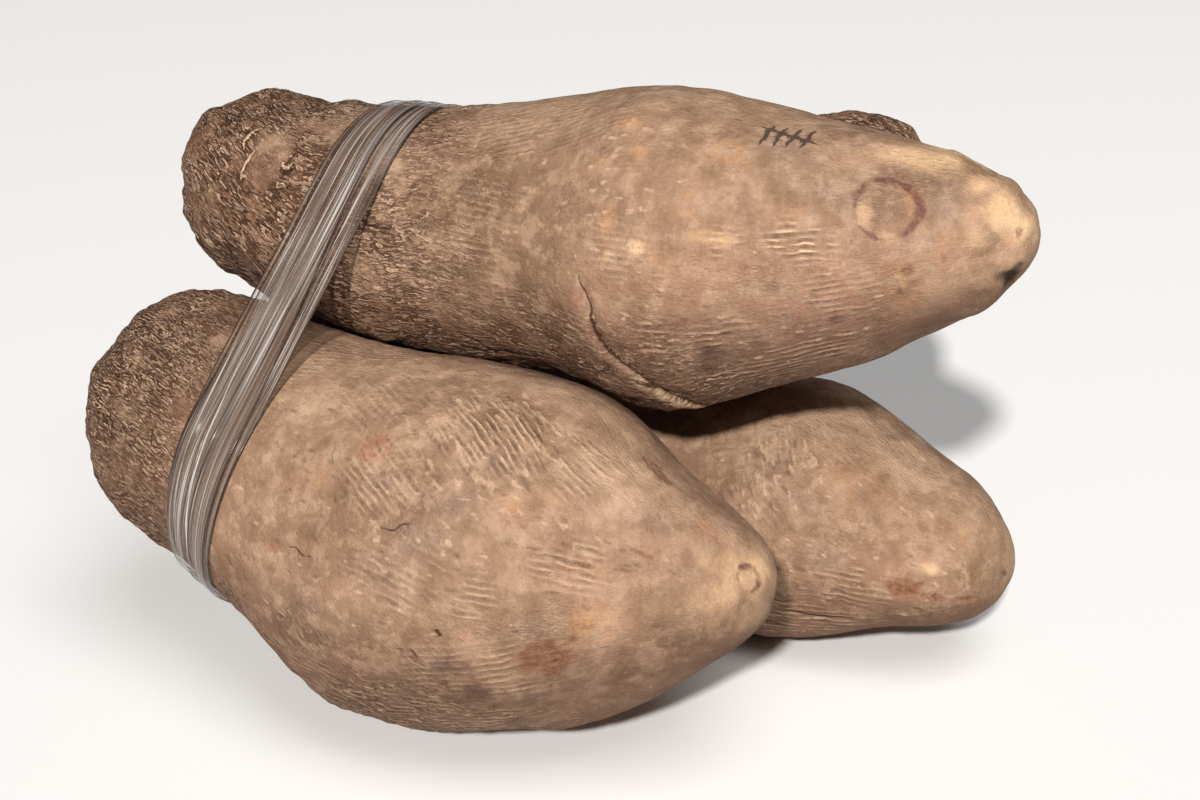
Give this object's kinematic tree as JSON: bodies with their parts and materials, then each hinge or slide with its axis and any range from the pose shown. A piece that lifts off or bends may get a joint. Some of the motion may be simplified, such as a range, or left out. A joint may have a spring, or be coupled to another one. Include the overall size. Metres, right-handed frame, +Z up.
{
  "type": "bundle of pona yams",
  "caption": "Whole pona yams with rough brown skin, tied crown end to crown end in one bundle by a band of clear stretch film.",
  "frame": {"origin": "bottom centre of the bundle's bounding box, on the surface that the lower yams lie on", "axes": "+X along the yams towards the tips of those that lie the same way, +Z up"},
  "size_m": [0.3252, 0.2699, 0.2199],
  "materials": {
    "yam_skin": "dry, dusty brown corky bark, rough all over",
    "stretch_film": "clear glossy polyethylene stretch film, wrinkled lengthwise"
  },
  "bodies": {
    "root": {"yam_upper": "yam_skin", "yam_lower_front": "yam_skin", "yam_lower_rear": "yam_skin", "yam_upper_rear": "yam_skin", "film_band": "stretch_film"}
  },
  "joints": []
}
